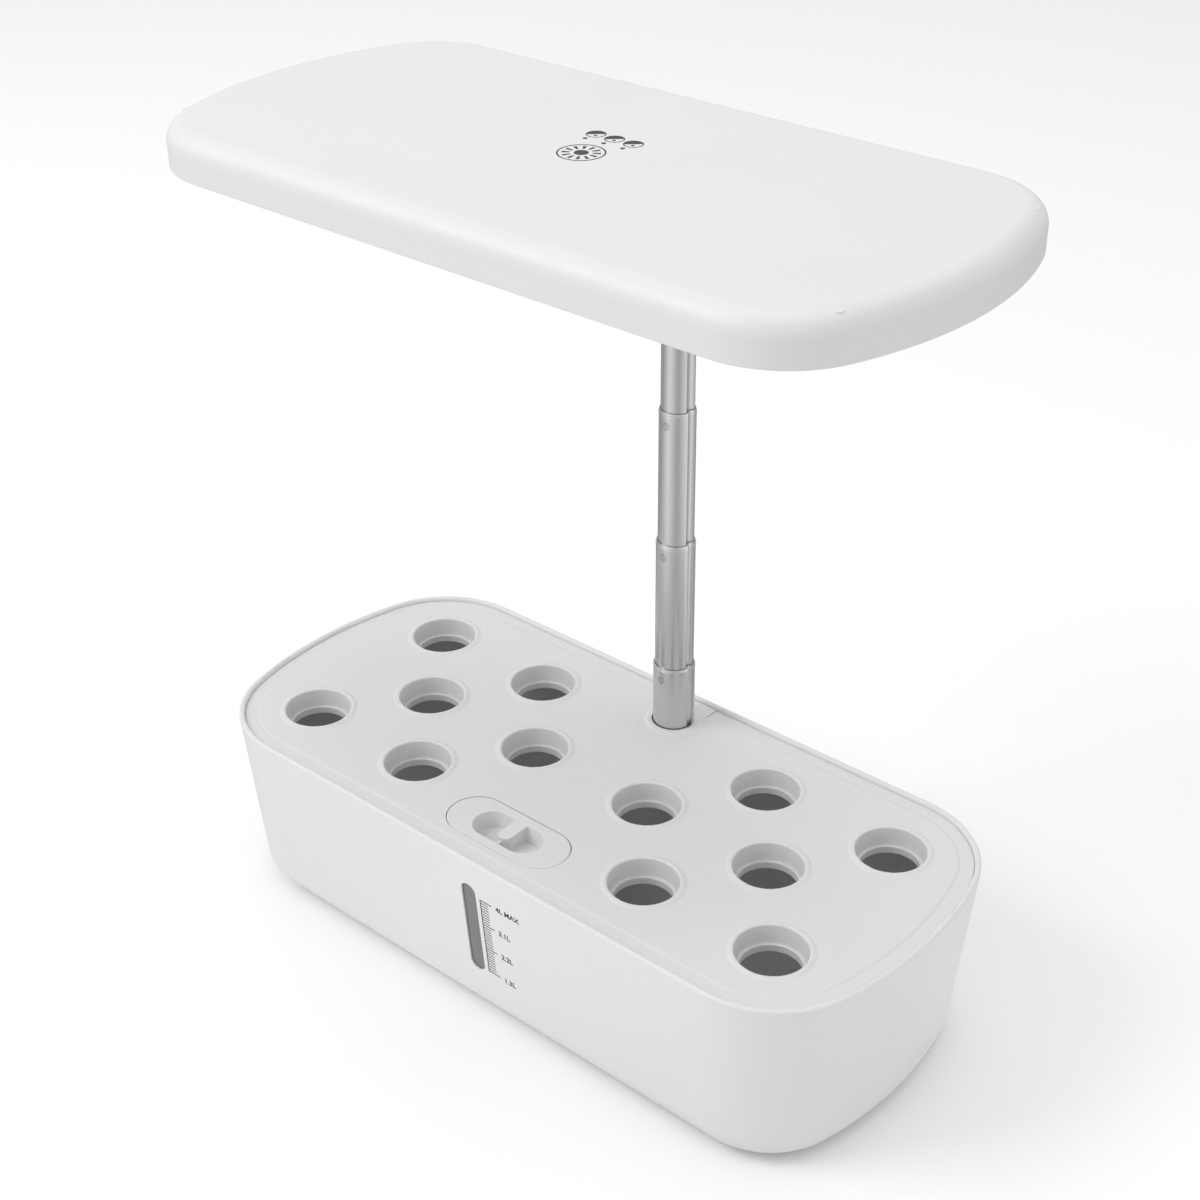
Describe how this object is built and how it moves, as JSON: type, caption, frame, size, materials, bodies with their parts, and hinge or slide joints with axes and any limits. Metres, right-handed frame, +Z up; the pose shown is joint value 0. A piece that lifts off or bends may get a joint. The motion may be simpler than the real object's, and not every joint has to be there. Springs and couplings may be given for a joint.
{
  "type": "countertop hydroponic garden",
  "caption": "Countertop hydroponic planter: tapered tub with a grey tank, lift-off planting deck, level window and a grow lamp on a telescopic pole.",
  "frame": {"origin": "middle of the footprint, on the surface the feet stand on", "axes": "+Z up, +X along the tub to its right-hand end, -Y the front with the level gauge"},
  "size_m": [0.3996, 0.1908, 0.4222],
  "materials": {
    "white_plastic": "fine matt moulded white",
    "deck_plastic": "fine matt moulded white",
    "lamp_plastic": "fine matt moulded white",
    "tank_plastic": "smoke grey, slightly satin",
    "window_plastic": "smoke grey, clear",
    "pole_metal": "satin drawn tube",
    "collar_metal": "bright rolled",
    "pin_metal": "turned",
    "bush_nylon": "natural nylon",
    "rubber": "light grey rubber",
    "screw_steel": "zinc plated",
    "board": "white solder mask",
    "circuit_green": "green solder mask",
    "diffuser": "frosted acrylic",
    "chip_white": "phosphor",
    "chip_red": "clear red",
    "chip_blue": "clear blue",
    "black_plastic": "black moulded",
    "pump_plastic": "black moulded",
    "shaft_steel": "ground",
    "cable_white": "PVC jacket"
  },
  "bodies": {
    "base": {"outer_housing": "white_plastic", "rubber_feet": "rubber", "inner_tank": "tank_plastic", "level_window": "window_plastic", "pole_socket": "white_plastic", "pole_tube_4": "pole_metal", "guide_collar_4": "collar_metal", "collar_pin_4": "pin_metal", "socket_screws": "screw_steel", "power_inlet": "black_plastic", "jack_nut": "screw_steel", "control_board": "circuit_green", "pump_body": "pump_plastic", "pump_cover": "pump_plastic", "pump_shaft": "shaft_steel", "suction_cups": "rubber", "pump_lead": "cable_white", "lead_grommet": "rubber"},
    "deck": {"planting_deck": "deck_plastic"},
    "lid": {"filler_lid": "deck_plastic"},
    "section_3": {"pole_tube_3": "pole_metal", "guide_collar_3": "collar_metal", "collar_pin_3": "pin_metal", "friction_bush_3": "bush_nylon"},
    "section_2": {"pole_tube_2": "pole_metal", "guide_collar_2": "collar_metal", "collar_pin_2": "pin_metal", "friction_bush_2": "bush_nylon"},
    "lamp": {"pole_tube_1": "pole_metal", "friction_bush_1": "bush_nylon", "lamp_cover": "lamp_plastic", "lamp_bezel": "lamp_plastic", "diffuser": "diffuser", "light_board": "board", "board_posts": "black_plastic", "white_chips": "chip_white", "red_chips": "chip_red", "blue_chips": "chip_blue", "touch_board": "circuit_green", "lamp_neck": "lamp_plastic", "lamp_lead": "cable_white", "lamp_screws": "screw_steel"},
    "impeller": {"impeller": "pump_plastic"}
  },
  "joints": [
    {"name": "lower_section_slide", "type": "slide", "parent": "base", "child": "section_3", "axis": [0, 0, 1], "range_m": [-0.068, 0]},
    {"name": "middle_section_slide", "type": "slide", "parent": "section_3", "child": "section_2", "axis": [0, 0, 1], "range_m": [-0.068, 0]},
    {"name": "upper_section_slide", "type": "slide", "parent": "section_2", "child": "lamp", "axis": [0, 0, 1], "range_m": [-0.085, 0]},
    {"name": "deck_lift", "type": "slide", "parent": "base", "child": "deck", "axis": [0, 0, 1], "range_m": [0, 0.06]},
    {"name": "lid_lift", "type": "slide", "parent": "deck", "child": "lid", "axis": [0, 0, 1], "range_m": [0, 0.03]},
    {"name": "impeller_spin", "type": "hinge", "parent": "base", "child": "impeller", "pos_m": [-0.0526, 0.004, 0.0233], "axis": [1, 0, 0], "continuous": true}
  ]
}
